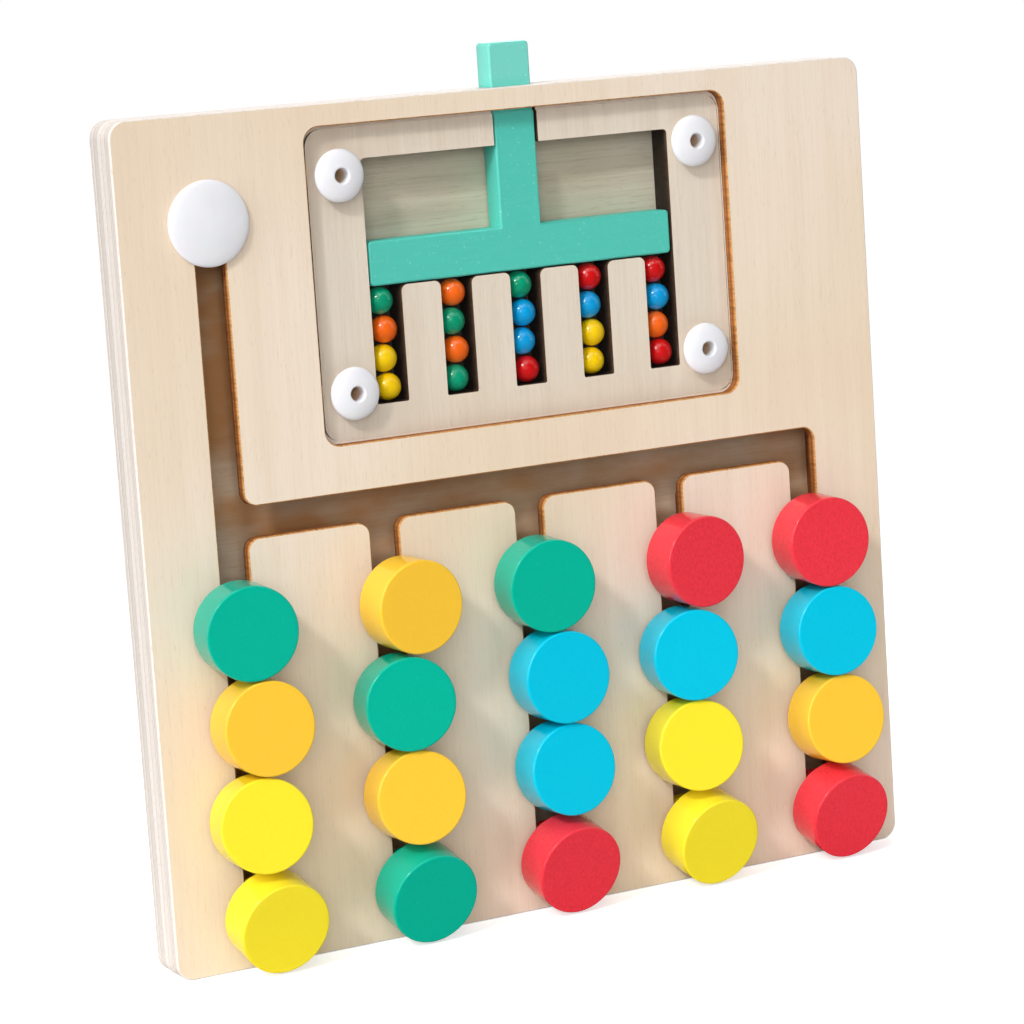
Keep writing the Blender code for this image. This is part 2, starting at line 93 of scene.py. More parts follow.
# The functions from here to bump each add a step to a material and give its output socket
def placeAlong(tree, coords, axis):
    return addNode(tree, "ShaderNodeSeparateXYZ", links={"Vector": coords}).outputs[axis]


# Noise with features of one size in mm
def evenNoise(tree, coords, size, detail):
    values = {"Scale": 1 / (size * mm), "Detail": detail}
    return addNode(tree, "ShaderNodeTexNoise", values=values, links={"Vector": coords}).outputs["Fac"]


# Noise with features of three sizes in mm, along X, Y and Z
def grainNoise(tree, coords, sizes, detail, roughness=0.5):
    scale = [1 / (size * mm) for size in sizes]
    space = addNode(tree, "ShaderNodeMapping", values={"Scale": scale}, links={"Vector": coords})
    values = {"Scale": 1.0, "Detail": detail, "Roughness": roughness}
    links = {"Vector": space.outputs["Vector"]}
    return addNode(tree, "ShaderNodeTexNoise", values=values, links=links).outputs["Fac"]


# A value moved from one range to another and clamped there
def remap(tree, value, source=(0, 1), target=(0, 1)):
    values = {"From Min": source[0], "From Max": source[1], "To Min": target[0], "To Max": target[1]}
    return addNode(tree, "ShaderNodeMapRange", values=values, links={"Value": value}).outputs["Result"]


def calculate(tree, operation, first, second, clamp=False):
    settings = {"operation": operation, "use_clamp": clamp}
    return addNode(tree, "ShaderNodeMath", settings=settings, links={0: first, 1: second}).outputs[0]


# Sockets of a colour Mix node: its factor, its two colours, and its result
mixFactor, mixFirst, mixSecond, mixResult = 0, 6, 7, 2


# The two colours are hex codes or sockets
def mixColours(tree, share, first, second):
    node = addNode(tree, "ShaderNodeMix", settings={"data_type": "RGBA"}, links={mixFactor: share})
    for socket, colour in ((mixFirst, first), (mixSecond, second)):
        if isinstance(colour, str):
            node.inputs[socket].default_value = hexToLinear(colour)
        else:
            tree.links.new(colour, node.inputs[socket])
    return node.outputs[mixResult]


# Colours along a ramp, as places and hex codes
def colourRamp(tree, share, stops):
    node = addNode(tree, "ShaderNodeValToRGB", links={"Fac": share})
    points = node.color_ramp.elements
    points[0].position, points[1].position = stops[0][0], stops[-1][0]
    points[0].color, points[1].color = hexToLinear(stops[0][1]), hexToLinear(stops[-1][1])
    for place, colour in stops[1:-1]:
        points.new(place).color = hexToLinear(colour)
    return node.outputs["Color"]


# Relief with a height in mm
def bump(tree, pattern, strength, height):
    values = {"Strength": strength, "Distance": height * mm}
    return addNode(tree, "ShaderNodeBump", values=values, links={"Height": pattern}).outputs["Normal"]


def dressShader(tree, shader, colour, rough, relief, values):
    for socket, origin in (("Base Color", colour), ("Roughness", rough), ("Normal", relief)):
        tree.links.new(origin, shader.inputs[socket])
    setInputs(shader, values)


# Camera at the photograph's viewing angle, in mm and degrees
camera = {
    "lens": 128.7,
    "sensor": 36,
    "place": (-484.25, -932.91, 282.37),
    "aim": (-5.73, -7.3, 118.28),
    "roll": -3.85,
}


def addCamera():
    data = bpy.data.cameras.new("camera")
    data.lens = camera["lens"]
    data.sensor_width = camera["sensor"]
    place, aim = Vector(camera["place"]) * mm, Vector(camera["aim"]) * mm
    gaze = (aim - place).to_track_quat("-Z", "Y").to_matrix()
    roll = Matrix.Rotation(math.radians(camera["roll"]), 3, "Z")
    eye = bpy.data.objects.new("camera", data)
    eye.matrix_world = Matrix.Translation(place) @ (gaze @ roll).to_4x4()
    scene.collection.objects.link(eye)
    scene.camera = eye


# Basswood veneer, sanded and left matte: pale cream, with fine straight grain, soft wider bands and a few
# short pores. streak, band and pores are sizes in mm along X, Y and Z, and the longest one runs with the
# grain. Real fibres and pores are too fine to show, so they are drawn several times as wide.
faceWood = {
    "name": "sandedBasswood",
    "pale": "#F0E0CE", "warm": "#EBD7BD", "deep": "#DEC6AA", "pore": "#B9967A",
    "streak": (0.55, 0.55, 26), "band": (7, 7, 170), "pores": (0.34, 0.34, 3.6),
    "bands": 0.28, "streaks": 0.27, "poreStrength": 0.18, "rough": (0.52, 0.68),
}
combWood = {
    "name": "basswoodUnderAcrylic",
    "pale": "#F0E4D5", "warm": "#EADAC7", "deep": "#D4C0A9", "pore": "#AA927A",
    "streak": (0.55, 0.55, 22), "band": (6, 6, 140), "pores": (0.34, 0.34, 3.2),
    "bands": 0.30, "streaks": 0.30, "poreStrength": 0.25, "rough": (0.58, 0.72),
}
floorWood = {
    "name": "smokedBackSheet",
    "pale": "#DAD0BD", "warm": "#D2C5AD", "deep": "#B09F85", "pore": "#8A765E",
    # Brown behind the tracks: partly laser smoke stains and partly painted shade in the deep tracks.
    "smokeAndShade": "#B37D4A", "smokeAndShadeFade": 3,
    "smokeAndShadePatch": (34, 13, 18), "smokeAndShadeWindow": (0.35, 0.65), "smokeAndShadeShare": (0.3, 0.95),
    # Near black behind the bead slots: partly laser char and partly painted shade in the deep narrow slots.
    "charAndShade": "#18100B", "charAndShadeStrength": 0.9, "charAndShadeFade": 4,
    "streak": (24, 0.6, 0.6), "band": (150, 5, 5), "pores": (4, 0.36, 0.36),
    "bands": 0.45, "streaks": 0.40, "poreStrength": 0.30, "rough": (0.58, 0.74),
}
# What the three have in common. Sizes are in mm, and a window is the part of a noise's range over which
# a change sets in.
sanding = {
    "warmPatch": 90, "warmWindow": (0.65, 0.35), "fibreRoughness": 0.6, "roughWindow": (0.3, 0.7),
    "relief": 0.35, "reliefHeight": 0.05, "gloss": 0.25,
}
# Layers of grain, each on the one before: its noise, the noise's detail and window, its strength and its tint
grainLayers = (
    ("band", 2.0, (0.42, 0.72), "bands", "deep"),
    ("streak", 4.0, (0.45, 0.75), "streaks", "deep"),
    ("pores", 1.0, (0.64, 0.74), "poreStrength", "pore"),
)


# Laser smoke and painted shade on the back sheet: near black behind the bead slots, brown in patches behind
# the tracks
def laserSmokeAndShade(tree, coords, colour, wood):
    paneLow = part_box("window_pane")[0]
    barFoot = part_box("bar")[0].z
    fade = wood["smokeAndShadeFade"] * mm
    height = placeAlong(tree, coords, "Z")
    below = remap(tree, height, (paneLow.z, paneLow.z - fade))
    beside = remap(tree, placeAlong(tree, coords, "X"), (paneLow.x, paneLow.x - fade))
    tracks = calculate(tree, "MAXIMUM", below, beside)
    # Painted shade: the sheet behind the bead slots is painted near black, partly char and partly the slots'
    # shade.
    slots = remap(tree, height, (barFoot + wood["charAndShadeFade"] * mm, barFoot), (0, wood["charAndShadeStrength"]))
    slotsOnly = calculate(tree, "SUBTRACT", slots, tracks, clamp=True)
    # Painted shade: the brown patches are partly smoke stains and partly the shade deep in the tracks.
    patches = grainNoise(tree, coords, wood["smokeAndShadePatch"], detail=3.0)
    browning = calculate(
        tree, "MULTIPLY", tracks, remap(tree, patches, wood["smokeAndShadeWindow"], wood["smokeAndShadeShare"])
    )
    return mixColours(tree, browning, mixColours(tree, slotsOnly, colour, wood["charAndShade"]), wood["smokeAndShade"])


def basswood(wood):
    material, tree, shader, coords = newFinish(wood["name"])
    warmth = remap(tree, evenNoise(tree, coords, sanding["warmPatch"], detail=1.0), sanding["warmWindow"])
    colour = mixColours(tree, warmth, wood["pale"], wood["warm"])
    noises = {}
    for part, detail, window, strength, tint in grainLayers:
        noises[part] = grainNoise(tree, coords, wood[part], detail, sanding["fibreRoughness"])
        colour = mixColours(tree, remap(tree, noises[part], window, (0, wood[strength])), colour, wood[tint])
    if "smokeAndShade" in wood:
        colour = laserSmokeAndShade(tree, coords, colour, wood)
    rough = remap(tree, noises["streak"], sanding["roughWindow"], wood["rough"])
    fibre = bump(tree, noises["streak"], sanding["relief"], sanding["reliefHeight"])
    dressShader(tree, shader, colour, rough, fibre, {"Specular IOR Level": sanding["gloss"]})
    return material


# Sawn and sanded plywood edge: pale veneers, thin darker glue lines that waver, and specks of end grain.
# Sizes in mm.
edgePly = {
    "plies": (1.1, 1.2, 1.2, 2.8, 2.8, 2.8, 0.8, 0.9, 1.0),  # from the front face to the back
    "long": "#EDE5DE", "cross": "#E2D9D1", "line": "#B7A391", "speck": "#C2B2A3",
    "lineHalf": 0.16, "wave": 0.35, "waveLength": 26,
    "speckSize": (1.6, 0.35, 1.6), "speckWindow": (0.5, 0.75), "speckShare": 0.55,
    "rough": (0.6, 0.8), "relief": 0.4, "reliefHeight": 0.06, "gloss": 0.2,
}


def plywoodEdge():
    material, tree, shader, coords = newFinish("sandedPlywoodEdge")
    front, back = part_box("front_panel")[0].y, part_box("back_panel")[1].y
    total = sum(edgePly["plies"])
    half = edgePly["lineHalf"] / total
    tones = (edgePly["long"], edgePly["cross"])
    stops, depth = [(0.0, tones[0])], 0.0
    for index, ply in enumerate(edgePly["plies"][:-1]):
        depth += ply / total
        before, after = tones[index % 2], tones[(index + 1) % 2]
        stops += [(depth - half, before), (depth, edgePly["line"]), (depth + half, after)]
    stops.append((1.0, tones[0]))
    wave = edgePly["wave"] * mm
    drift = remap(tree, evenNoise(tree, coords, edgePly["waveLength"], detail=2.0), target=(-wave, wave))
    across = calculate(tree, "ADD", placeAlong(tree, coords, "Y"), drift)
    veneers = colourRamp(tree, remap(tree, across, (front, back)), stops)
    grain = grainNoise(tree, coords, edgePly["speckSize"], detail=3.0)
    specks = remap(tree, grain, edgePly["speckWindow"], (0, edgePly["speckShare"]))
    colour = mixColours(tree, specks, veneers, edgePly["speck"])
    rough = remap(tree, grain, target=edgePly["rough"])
    fibre = bump(tree, grain, edgePly["relief"], edgePly["reliefHeight"])
    dressShader(tree, shader, colour, rough, fibre, {"Specular IOR Level": edgePly["gloss"]})
    return material


# Laser-cut wood: scorched, lighter at the front lip and darker towards the back, with fine lines from face to
# face and darker glue bands.
# line is a burnt line's size in mm along X, Y and Z.
frontCut = {
    "name": "scorchedCut",
    "lip": "#D9A263", "middle": "#B4713A", "deep": "#7C4A24", "streak": "#5E3415",
}
coreCut = {
    "name": "charredCut",
    "lip": "#5A3E29", "middle": "#2B1D14", "deep": "#20150F", "streak": "#130C08",
}
cutSurface = {
    "bands": ((0.0, "lip"), (0.22, "middle"), (0.45, "deep"), (0.58, "middle"), (1.0, "deep")),
    "line": (0.6, 9, 0.6), "burnWindow": (0.4, 0.75), "burn": 0.7, "rough": (0.55, 0.85),
    "relief": 0.4, "reliefHeight": 0.08, "gloss": 0.2,
}


def laserCut(cut, node):
    material, tree, shader, coords = newFinish(cut["name"])
    front, back = (corner.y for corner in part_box(node))
    depth = remap(tree, placeAlong(tree, coords, "Y"), (front, back))
    scorch = colourRamp(tree, depth, [(place, cut[tone]) for place, tone in cutSurface["bands"]])
    lines = grainNoise(tree, coords, cutSurface["line"], detail=3.0)
    burn = remap(tree, lines, cutSurface["burnWindow"], (0, cutSurface["burn"]))
    colour = mixColours(tree, burn, scorch, cut["streak"])
    rough = remap(tree, lines, target=cutSurface["rough"])
    ridges = bump(tree, lines, cutSurface["relief"], cutSurface["reliefHeight"])
    dressShader(tree, shader, colour, rough, ridges, {"Specular IOR Level": cutSurface["gloss"]})
    return material


# Cast acrylic: clear and flat, with a faint haze of handling, sized in mm, that breaks its gloss a little
acrylic = {
    "tint": "#FBFBF9", "refraction": 1.49, "haze": 14, "hazeWindow": (0.35, 0.75), "rough": (0.02, 0.07),
}


def clearAcrylic():
    material, tree, shader, coords = newFinish("clearAcrylic")
    haze = evenNoise(tree, coords, acrylic["haze"], detail=3.0)
    rough = remap(tree, haze, acrylic["hazeWindow"], acrylic["rough"])
    tree.links.new(rough, shader.inputs["Roughness"])
    setInputs(shader, {
        "Base Color": hexToLinear(acrylic["tint"]), "IOR": acrylic["refraction"], "Transmission Weight": 1.0,
    })
    return material


# Rivet sizes in mm: the front half's domed head, bore and shank, and the rear half's flange and pin
rivet = {
    "head": 15.0, "height": 2.5, "rim": 0.4, "bore": 4.2, "shank": 7.0,
    "lipEase": 0.5, "seatEase": 0.15, "shankEase": 0.3, "boreEase": 0.2,
    "flange": 12.0, "flangeThickness": 1.0, "flangeEase": 0.35, "flangeHold": 0.6, "pin": 3.6, "pinEase": 0.4,
    "segments": 72, "easeSteps": 5,
}

# Moulded polypropylene: cool white and waxy, with a faint orange peel from the mould, and painted shade in
# the rivet bores, tinted tan as light off the surrounding wood. Sizes in mm.
plastic = {
    "bright": "#EFEFF2", "dull": "#E7E7EC", "flow": 7, "peel": 0.9, "peelHeight": 0.03, "peelStrength": 0.12,
    "dustSpecksAndBoreShade": "#E8C8A4", "boreShadeShare": 0.9, "boreShadeStart": 1.0, "boreShadeEnd": 0.5,
    "rough": (0.26, 0.42), "glowThrough": 0.15, "glowDepth": 1.0,
}


def whitePlastic():
    material, tree, shader, coords = newFinish("mouldedWhitePlastic")
    peel = evenNoise(tree, coords, plastic["peel"], detail=2.0)
    flow = evenNoise(tree, coords, plastic["flow"], detail=2.0)
    white = mixColours(tree, flow, plastic["bright"], plastic["dull"])
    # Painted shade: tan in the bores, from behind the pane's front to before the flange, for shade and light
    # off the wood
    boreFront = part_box("window_pane")[0].y
    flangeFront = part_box("rivet_rear_upper_left")[1].y - rivet["flangeThickness"] * mm
    depth = placeAlong(tree, coords, "Y")
    boreShadeFull, boreShadeLast = boreFront + plastic["boreShadeStart"] * mm, flangeFront - plastic["boreShadeEnd"] * mm
    inside = remap(tree, depth, (boreFront, boreShadeFull), (0, plastic["boreShadeShare"]))
    dustSpecksAndBoreShade = calculate(tree, "SUBTRACT", inside, remap(tree, depth, (boreShadeLast, flangeFront)), clamp=True)
    colour = mixColours(tree, dustSpecksAndBoreShade, white, plastic["dustSpecksAndBoreShade"])
    rough = remap(tree, flow, target=plastic["rough"])
    skin = bump(tree, peel, plastic["peelStrength"], plastic["peelHeight"])
    glow = {"Subsurface Weight": plastic["glowThrough"], "Subsurface Scale": plastic["glowDepth"] * mm}
    dressShader(tree, shader, colour, rough, skin, glow)
    return material


# Water-based paint on wood: an even satin coat that shows the fibres under it and a few dust specks.
# fibre is a streak's size in mm along X, Y and Z.
# The handle above the board is painted lighter: painted light, for the stronger light on it outside the pane.
barPaint = {
    "name": "tealPaintOnWood",
    "colour": "#58D0C0", "shade": "#4DC4B3", "fleck": "#BFEDE2", "paintedHandleLight": "#78D6C7", "paintedHandleLightFade": 3,
    "fibre": (9, 0.5, 0.5), "mottle": 0.35, "flecks": 0.6, "relief": 0.25,
    "rough": (0.40, 0.55), "gloss": 0.35,
}
knobPaints = {
    "green": {"colour": "#00B297", "shade": "#00A387", "fleck": "#2FC3A8", "mottle": 0.35},
    "amber": {"colour": "#FBC83B", "shade": "#F5BC2C", "fleck": "#FFD562", "mottle": 0.35},
    "yellow": {"colour": "#F7E331", "shade": "#F0DA1B", "fleck": "#FFF060", "mottle": 0.35},
    "blue": {"colour": "#00C2E0", "shade": "#00B4D6", "fleck": "#35CFE8", "mottle": 0.35},
    "red": {"colour": "#EE3A48", "shade": "#CE2834", "fleck": "#F45E64", "mottle": 0.6},
}
knobCoat = {"fibre": (0.6, 0.9, 0.9), "flecks": 0.2, "relief": 0.06, "rough": (0.13, 0.19), "gloss": 0.33}
# The film on both: sizes in mm, and windows of its noises
paintFilm = {
    "speck": 0.7, "reliefHeight": 0.05, "fibreRoughness": 0.65,
    "mottleWindow": (0.4, 0.72), "fleckWindow": (0.76, 0.80), "roughWindow": (0.3, 0.7),
}


def paintOnWood(paint):
    material, tree, shader, coords = newFinish(paint["name"])
    fibre = grainNoise(tree, coords, paint["fibre"], 4.0, paintFilm["fibreRoughness"])
    mottle = remap(tree, fibre, paintFilm["mottleWindow"], (0, paint["mottle"]))
    colour = mixColours(tree, mottle, paint["colour"], paint["shade"])
    # Painted light: above the board's top edge the paint turns lighter, for the stronger light on the handle
    # outside the pane.
    if "paintedHandleLight" in paint:
        boardTop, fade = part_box("front_panel")[1].z, paint["paintedHandleLightFade"] * mm
        handleLightShare = remap(tree, placeAlong(tree, coords, "Z"), (boardTop - fade, boardTop + fade))
        colour = mixColours(tree, handleLightShare, colour, paint["paintedHandleLight"])
    dustSpecksAndBoreShade = evenNoise(tree, coords, paintFilm["speck"], detail=0.0)
    flecks = remap(tree, dustSpecksAndBoreShade, paintFilm["fleckWindow"], (0, paint["flecks"]))
    colour = mixColours(tree, flecks, colour, paint["fleck"])
    rough = remap(tree, fibre, paintFilm["roughWindow"], paint["rough"])
    grain = bump(tree, fibre, paint["relief"], paintFilm["reliefHeight"])
    dressShader(tree, shader, colour, rough, grain, {"Specular IOR Level": paint["gloss"]})
    return material


# Tumbled lacquer on small wooden balls: deep glossy colour, a little uneven under a clear coat.
# pool and reliefHeight are in mm.
beadLacquers = {
    "green": ("#02A67C", "#019068"),
    "amber": ("#FF7218", "#F6620C"),
    "yellow": ("#FFD804", "#FBC900"),
    "blue": ("#02ADF0", "#0296D8"),
    "red": ("#E11216", "#C4080C"),
}
lacquer = {
    "pool": 2.2, "relief": 0.15, "reliefHeight": 0.06, "rough": (0.08, 0.26), "coat": 0.4, "coatRough": 0.06,
}


def tumbledLacquer(colourName):
    material, tree, shader, coords = newFinish(f"{colourName}BeadLacquer")
    pool = evenNoise(tree, coords, lacquer["pool"], detail=3.0)
    colour = mixColours(tree, pool, *beadLacquers[colourName])
    rough = remap(tree, pool, target=lacquer["rough"])
    skin = bump(tree, pool, lacquer["relief"], lacquer["reliefHeight"])
    coat = {"Coat Weight": lacquer["coat"], "Coat Roughness": lacquer["coatRough"]}
    dressShader(tree, shader, colour, rough, skin, coat)
    return material


finishes = {
    "face": basswood(faceWood),
    "comb": basswood(combWood),
    "floor": basswood(floorWood),
    "edge": plywoodEdge(),
    "frontCut": laserCut(frontCut, "front_panel"),
    "coreCut": laserCut(coreCut, "track_layer"),
    "acrylic": clearAcrylic(),
    "plastic": whitePlastic(),
    "teal": paintOnWood(barPaint),
}
for colourName, tones in knobPaints.items():
    finishes[colourName + "Knob"] = paintOnWood({"name": f"{colourName}KnobPaint", **tones, **knobCoat})
    finishes[colourName + "Bead"] = tumbledLacquer(colourName)
print("finishes made:", len(finishes))

arcStep = math.radians(6)  # largest turn between two points of a rounded corner
sheetSharp, turnedSharp = math.radians(50), math.radians(40)  # edges that turn more than this stay crisp


# Points on a circle about a middle, from one angle to another
def arcPoints(middle, radius, start, end):
    steps = max(1, math.ceil(abs(end - start) / arcStep))
    angles = [start + (end - start) * step / steps for step in range(steps + 1)]
    return [middle + radius * Vector((math.cos(angle), math.sin(angle))) for angle in angles]


# Closed outline through corners of (x, z, corner radius)
def roundCorners(corners):
    outline = []
    for index, (x, z, radius) in enumerate(corners):
        here = Vector((x, z))
        before = (Vector(corners[index - 1][:2]) - here).normalized()
        after = (Vector(corners[(index + 1) % len(corners)][:2]) - here).normalized()
        if radius == 0:
            outline.append(here)
            continue
        half = before.angle(after) / 2
        middle = here + (before + after).normalized() * (radius / math.sin(half))
        first = here + before * (radius / math.tan(half)) - middle
        last = here + after * (radius / math.tan(half)) - middle
        start = math.atan2(first.y, first.x)
        outline += arcPoints(middle, radius, start, start - first.angle_signed(last))
    return outline


def roundBox(left, right, bottom, top, radius):
    corners = ((left, bottom), (right, bottom), (right, top), (left, top))
    return roundCorners([(x, z, radius) for x, z in corners])


def hole(x, z, radius):
    return arcPoints(Vector((x, z)), radius, 0, 2 * math.pi)[:-1]


# The outline drawn in by a distance, into the material on its left
def drawnIn(outline, distance):
    moved = []
    for index, here in enumerate(outline):
        before = (here - outline[index - 1]).normalized()
        after = (outline[(index + 1) % len(outline)] - here).normalized()
        leftBefore, leftAfter = Vector((-before.y, before.x)), Vector((-after.y, after.x))
        moved.append(here + (leftBefore + leftAfter) * (distance / (1 + leftBefore.dot(leftAfter))))
    return moved


def signedArea(outline):
    return sum(a.x * b.y - b.x * a.y for a, b in zip(outline, outline[1:] + outline[:1])) / 2


def addPiece(name, mesh, body, slotName, *nodes):
    piece = bpy.data.objects.new(name, mesh)
    scene.collection.objects.link(piece)
    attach(piece, body)
    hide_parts(*nodes)
    return piece


# A sheet's materials: its two faces, its outer edge, its cuts, and one more in the place of some of these
facesSlot, edgeSlot, cutSlot, otherSlot = range(4)
easeMiddle = 0.3  # share of an eased edge's depth at its middle ring


# A flat sheet with eased edges: an outline and holes, from one y to another.
# isEdge tells the outer edge from a cut.
def sheetMesh(name, outline, holes, front, back, frontEase, backEase, materials, isEdge):
    shape = bmesh.new()
    frontMiddle, backMiddle = frontEase * easeMiddle, backEase * easeMiddle
    steps = [(frontEase, front), (frontMiddle, front + frontMiddle), (0, front + frontEase)]
    steps += [(0, back - backEase), (backMiddle, back - backMiddle), (backEase, back)]
    rims = {front: [], back: []}
    for number, loop in enumerate([outline, *holes]):
        outward = number == 0
        if (signedArea(loop) > 0) != outward:
            loop = loop[::-1]
        rings = []
        for inset, y in steps:
            rings.append([shape.verts.new((p.x, y, p.y)) for p in drawnIn(loop, inset)])
        for near, far in zip(rings, rings[1:]):
            for index in range(len(loop)):
                face = shape.faces.new((near[index - 1], near[index], far[index], far[index - 1]))
                face.smooth = True
                face.material_index = edgeSlot if isEdge((loop[index] + loop[index - 1]) / 2) else cutSlot
        for y, ring in ((front, rings[0]), (back, rings[-1])):
            rims[y] += [shape.edges.get((ring[index - 1], ring[index])) for index in range(len(ring))]
    for y, edges in rims.items():
        outwards = -1 if y == front else 1
        bmesh.ops.triangle_fill(shape, use_beauty=True, edges=edges, normal=(0, outwards, 0))
    bmesh.ops.recalc_face_normals(shape, faces=shape.faces)
    mesh = bpy.data.meshes.new(name)
    shape.to_mesh(mesh)
    shape.free()
    for material in materials:
        mesh.materials.append(material)
    mesh.set_sharp_from_angle(angle=sheetSharp)
    mesh.polygons.foreach_set("use_smooth", [face.material_index != facesSlot for face in mesh.polygons])
    return mesh


# Board sizes in mm. The glue lines between its sheets are closed here.
board = {
    "corner": 5.0, "ease": 0.35, "jointEase": 0.06, "edgeTolerance": 0.1,
    "sideMargin": 26.7, "trackWidth": 9.0, "trackCorner": 3.8, "endCorner": 1.0,
    "trackBottom": 14.08, "crossHeight": 126.07, "plugHole": 17.6,
    "channelWidth": 18.0, "channelBottom": 10.54, "channelHole": 18.6,
    "windowCorner": 4.5, "paneGap": 0.8, "shankHole": 7.6, "flangeHole": 12.6,
}
chamber = {
    "beadSlot": 9.8, "tooth": 12.5, "toothCorner": 2.0, "corner": 1.2, "slotCorner": 0.5,
    "left": -44.4, "slotBottom": 153.97, "toothTop": 186.97, "top": 223.37, "stemGap": 14.2,
}
columns = 5
boardLow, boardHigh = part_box("front_panel")
plugLow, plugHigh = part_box("track_plug")
plugMiddle = (plugLow + plugHigh) / 2
firstColumn = boardLow.x + board["sideMargin"] * mm
columnPitch = -2 * firstColumn / (columns - 1)
rivetPlaces = [f"{level}_{side}" for level in ("upper", "lower") for side in ("left", "right")]


def middleOf(node):
    low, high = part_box(node)
    return (low + high) / 2


def rivetHoles(diameter):
    spots = [middleOf(f"rivet_{place}") for place in rivetPlaces]
    return [hole(spot.x, spot.z, diameter * mm / 2) for spot in spots]


# One opening for the plug's hole, the left track, the cross track and the columns
def trackOutline(width, bottom, holeDiameter):
    half, corner, end = width * mm / 2, board["trackCorner"] * mm, board["endCorner"] * mm
    low = board["crossHeight"] * mm - half
    high = board["crossHeight"] * mm + half
    bottom = bottom * mm
    corners = [(firstColumn - half, bottom, end)]
    for column in range(columns):
        middle = firstColumn + column * columnPitch
        if column > 0:
            corners += [(middle - half, low, corner), (middle - half, bottom, end)]
        corners.append((middle + half, bottom, end))
        if column < columns - 1:
            corners.append((middle + half, low, corner))
    corners += [(middle + half, high, corner), (firstColumn + half, high, corner)]
    radius = holeDiameter * mm / 2
    mouth = math.asin(min(1.0, half / radius))
    mouthHeight = plugMiddle.z - radius * math.cos(mouth)
    corners += [(firstColumn + half, mouthHeight, 0), (firstColumn - half, mouthHeight, 0)]
    start = mouth - math.pi / 2
    plugHole = arcPoints(Vector((firstColumn, plugMiddle.z)), radius, start, start + 2 * (math.pi - mouth))
    return roundCorners(corners)[:-2] + plugHole


def boardOutline():
    return roundBox(boardLow.x, boardHigh.x, boardLow.z, boardHigh.z, board["corner"] * mm)


# True on the board's own rounded outline, false in a cut inside it
def onBoardEdge(point):
    half = Vector((boardHigh.x - boardLow.x, boardHigh.z - boardLow.z)) / 2
    middle = Vector((boardHigh.x + boardLow.x, boardHigh.z + boardLow.z)) / 2
    radius = board["corner"] * mm
    x = max(abs(point.x - middle.x) - half.x + radius, 0)
    z = max(abs(point.y - middle.y) - half.y + radius, 0)
    return math.hypot(x, z) - radius > -board["edgeTolerance"] * mm


def addFrontPanel():
    paneLow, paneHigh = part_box("window_pane")
    gap = board["paneGap"] * mm
    window = roundBox(
        paneLow.x - gap, paneHigh.x + gap, paneLow.z - gap, paneHigh.z + gap, board["windowCorner"] * mm
    )
    tracks = trackOutline(board["trackWidth"], board["trackBottom"], board["plugHole"])
    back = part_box("track_layer")[0].y
    mesh = sheetMesh(
        "frontPanel", boardOutline(), [window, tracks], boardLow.y, back, board["ease"] * mm,
        board["jointEase"] * mm, [finishes["face"], finishes["edge"], finishes["frontCut"]], onBoardEdge,
    )
    addPiece("frontPanel", mesh, "board", "basswood_face", "front_panel")


# The chamber with its comb of bead slots, open at the top for the bar's stem
def combCorners():
    left, slotWidth = chamber["left"], chamber["beadSlot"]
    right = left + columns * slotWidth + (columns - 1) * chamber["tooth"]
    stem = (left + right) / 2
    gapHalf = chamber["stemGap"] / 2
    top, edge = chamber["top"], boardHigh.z / mm
    corners = [(stem - gapHalf, edge, 0), (stem - gapHalf, top, 0), (left, top, chamber["corner"])]
    for slot in range(columns):
        start = left + slot * (slotWidth + chamber["tooth"])
        if slot > 0:
            corners.append((start, chamber["toothTop"], chamber["toothCorner"]))
        corners.append((start, chamber["slotBottom"], chamber["slotCorner"]))
        corners.append((start + slotWidth, chamber["slotBottom"], chamber["slotCorner"]))
        if slot < columns - 1:
            corners.append((start + slotWidth, chamber["toothTop"], chamber["toothCorner"]))
    corners += [(right, top, chamber["corner"]), (stem + gapHalf, top, 0), (stem + gapHalf, edge, 0)]
    return [(x * mm, z * mm, radius * mm) for x, z, radius in corners]


def addTrackLayer():
    low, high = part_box("track_layer")
    radius = board["corner"] * mm
    rim = [(high.x, high.z, radius), (high.x, low.z, radius), (low.x, low.z, radius), (low.x, high.z, radius)]
    channels = trackOutline(board["channelWidth"], board["channelBottom"], board["channelHole"])
    mesh = sheetMesh(
        "trackLayer", roundCorners(combCorners() + rim), [channels, *rivetHoles(board["shankHole"])], low.y,
        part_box("back_panel")[0].y, board["jointEase"] * mm, board["jointEase"] * mm,
        [finishes["comb"], finishes["edge"], finishes["coreCut"], finishes["frontCut"]], onBoardEdge,
    )
    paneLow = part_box("window_pane")[0]
    for face in mesh.polygons:
        inTracks = face.center.x < paneLow.x or face.center.z < paneLow.z
        if face.material_index == cutSlot and inTracks:
            face.material_index = otherSlot  # less charred than the bead slots
    addPiece("trackLayer", mesh, "board", "basswood_core", "track_layer")


def addBackPanel():
    low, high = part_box("back_panel")
    mesh = sheetMesh(
        "backPanel", boardOutline(), rivetHoles(board["flangeHole"]), low.y, high.y, board["jointEase"] * mm,
        board["ease"] * mm, [finishes[name] for name in ("floor", "edge", "coreCut", "face")], onBoardEdge,
    )
    for face in mesh.polygons:
        if face.normal.y > 0.9:  # looks straight back
            face.material_index = otherSlot  # the board's clean rear face
    addPiece("backPanel", mesh, "board", "basswood_face", "back_panel")


pane = {"corner": 5.0, "ease": 0.3}  # mm


